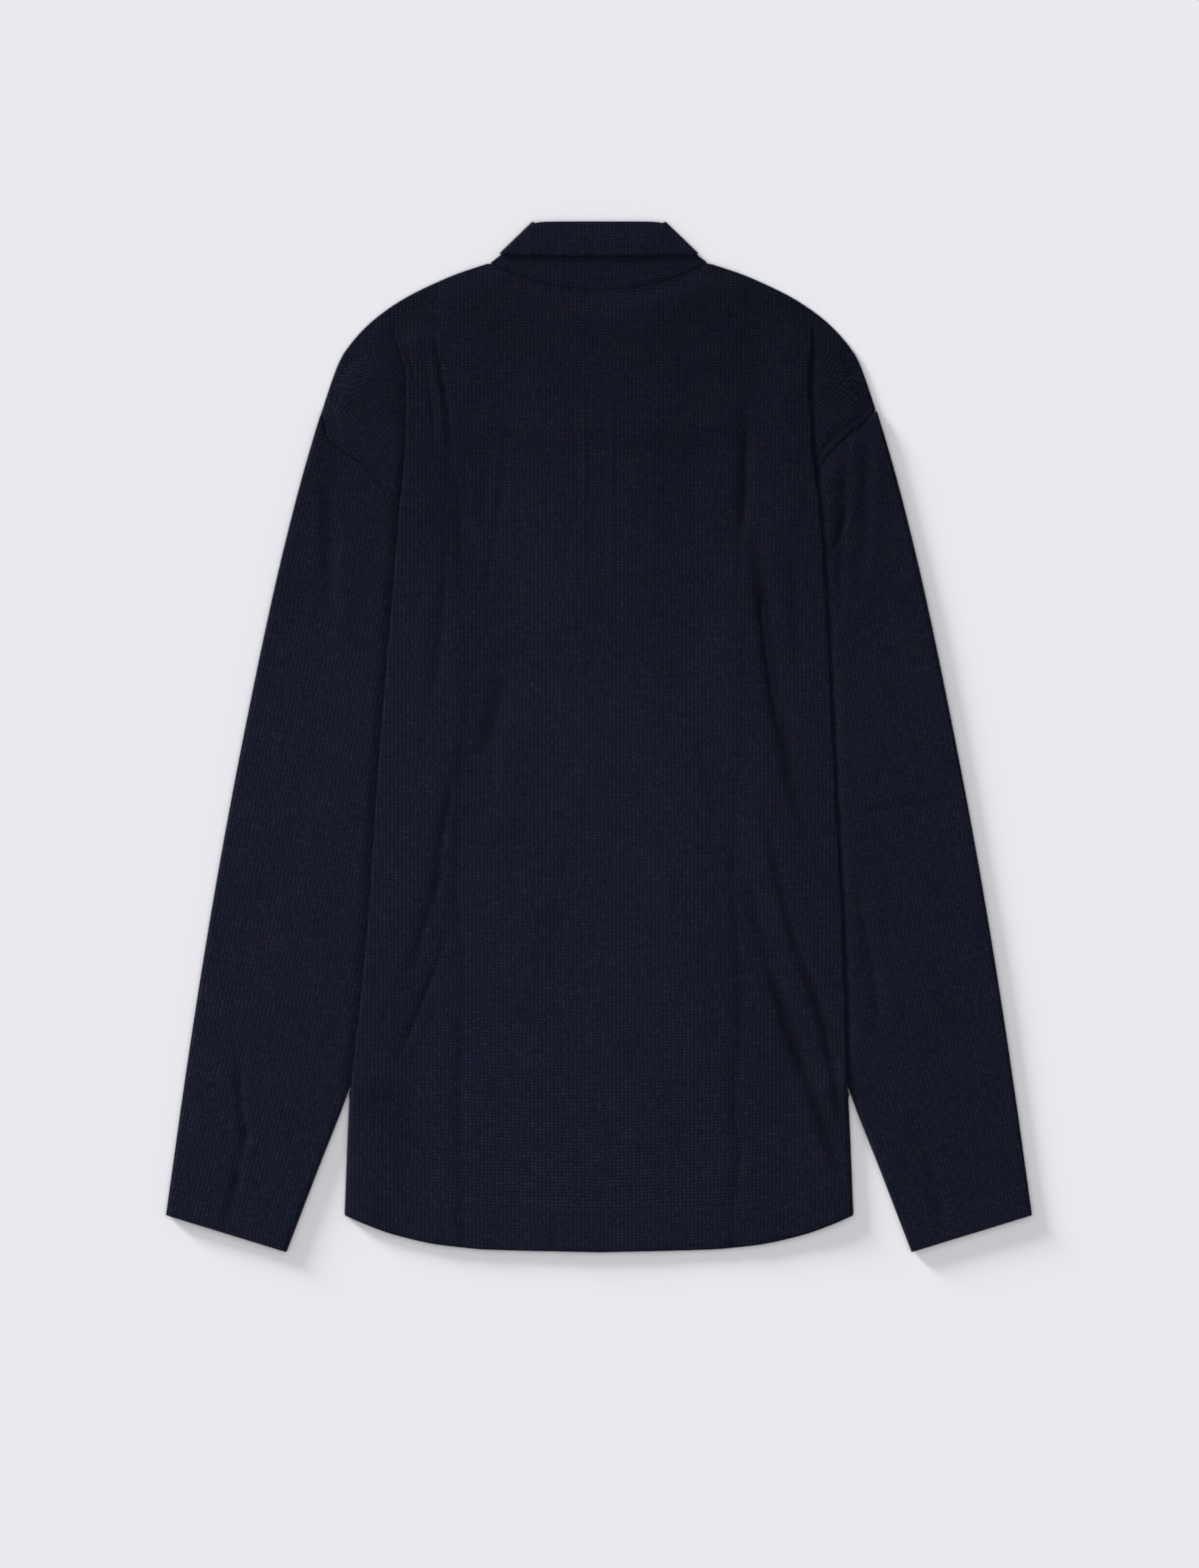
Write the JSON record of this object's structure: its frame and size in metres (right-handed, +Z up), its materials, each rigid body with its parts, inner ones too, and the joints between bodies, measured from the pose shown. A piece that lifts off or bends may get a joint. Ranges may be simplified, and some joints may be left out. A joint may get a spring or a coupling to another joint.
{
  "type": "long-sleeve polo shirt",
  "caption": "Long-sleeve polo shirt in dark waffle knit, laid flat with its back up and its sleeves straight down.",
  "frame": {"origin": "on the floor under the middle of the laid-out shirt", "axes": "+Z up from the floor out of the shirt's back, +Y from the hem to the collar, +X to the right sleeve as seen from above"},
  "size_m": [0.6666, 0.793, 0.0074],
  "materials": {
    "cloth": "matte waffle knit",
    "buttons": "satin"
  },
  "bodies": {
    "root": {"back": "cloth", "front": "cloth", "sleeve_left": "cloth", "sleeve_right": "cloth", "collar_stand": "cloth", "collar_leaf": "cloth", "placket_outer": "cloth", "placket_inner": "cloth", "button_top": "buttons", "button_middle": "buttons", "button_bottom": "buttons"}
  },
  "joints": []
}
